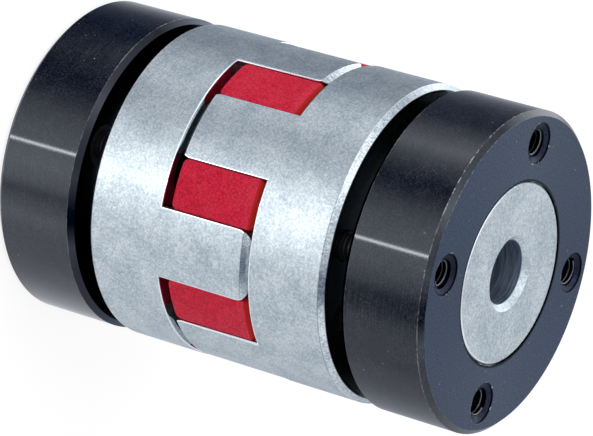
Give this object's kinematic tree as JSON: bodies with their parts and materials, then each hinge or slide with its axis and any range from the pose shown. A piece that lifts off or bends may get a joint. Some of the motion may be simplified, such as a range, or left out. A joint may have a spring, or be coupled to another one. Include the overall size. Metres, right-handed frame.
{
  "type": "jaw coupling",
  "caption": "Flexible shaft coupling with interleaved jaws, an elastic spider between them and a clamping ring on a conical nose at each end.",
  "frame": {"origin": "centre of the rear end, which it stands on", "axes": "+Z along the shaft axis from the rear end to the front end, the right-hand end in the picture; +X through the middle of one of the rear hub's jaws"},
  "size_m": [0.055, 0.055, 0.085],
  "materials": {
    "hub": "satin, lightly tumbled",
    "clamp_ring": "blackened satin steel, oiled",
    "spider": "matte moulded polyurethane",
    "screw": "black oxide"
  },
  "bodies": {
    "root": {"front_hub": "hub", "rear_hub": "hub", "front_clamp_ring": "clamp_ring", "rear_clamp_ring": "clamp_ring", "spider": "spider", "front_clamp_screw_1": "screw", "rear_clamp_screw_1": "screw", "front_clamp_screw_2": "screw", "rear_clamp_screw_2": "screw", "front_clamp_screw_3": "screw", "rear_clamp_screw_3": "screw", "front_clamp_screw_4": "screw", "rear_clamp_screw_4": "screw"}
  },
  "joints": []
}
